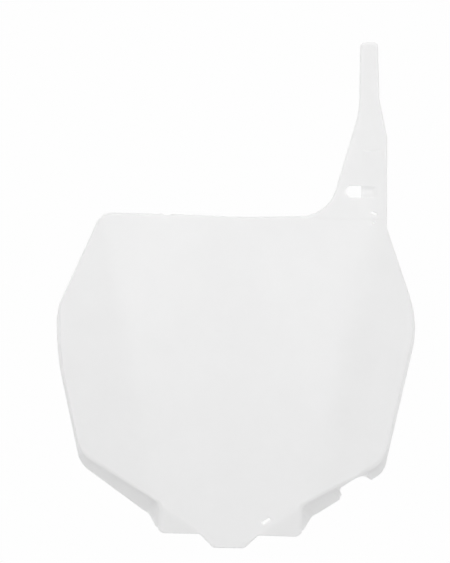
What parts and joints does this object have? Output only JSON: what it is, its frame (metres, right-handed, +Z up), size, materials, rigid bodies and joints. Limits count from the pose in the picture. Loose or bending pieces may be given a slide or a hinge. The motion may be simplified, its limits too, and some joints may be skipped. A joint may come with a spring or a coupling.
{
  "type": "front number plate",
  "caption": "White moulded front number plate for an off-road motorcycle: crowned face, swept-back side wings, rim skirt, hose notch, bottom tongue and a slotted handlebar strap.",
  "frame": {"origin": "middle of the flat pad on the back of the bottom tongue, where the plate bears on the fork clamp", "axes": "+X to the viewer's right when looking at the face, +Y to the back of the plate, +Z up along the face; the face looks along -Y"},
  "size_m": [0.2522, 0.036, 0.3556],
  "materials": {
    "white_plastic": "gloss"
  },
  "bodies": {
    "root": {"number_plate": "white_plastic"}
  },
  "joints": []
}
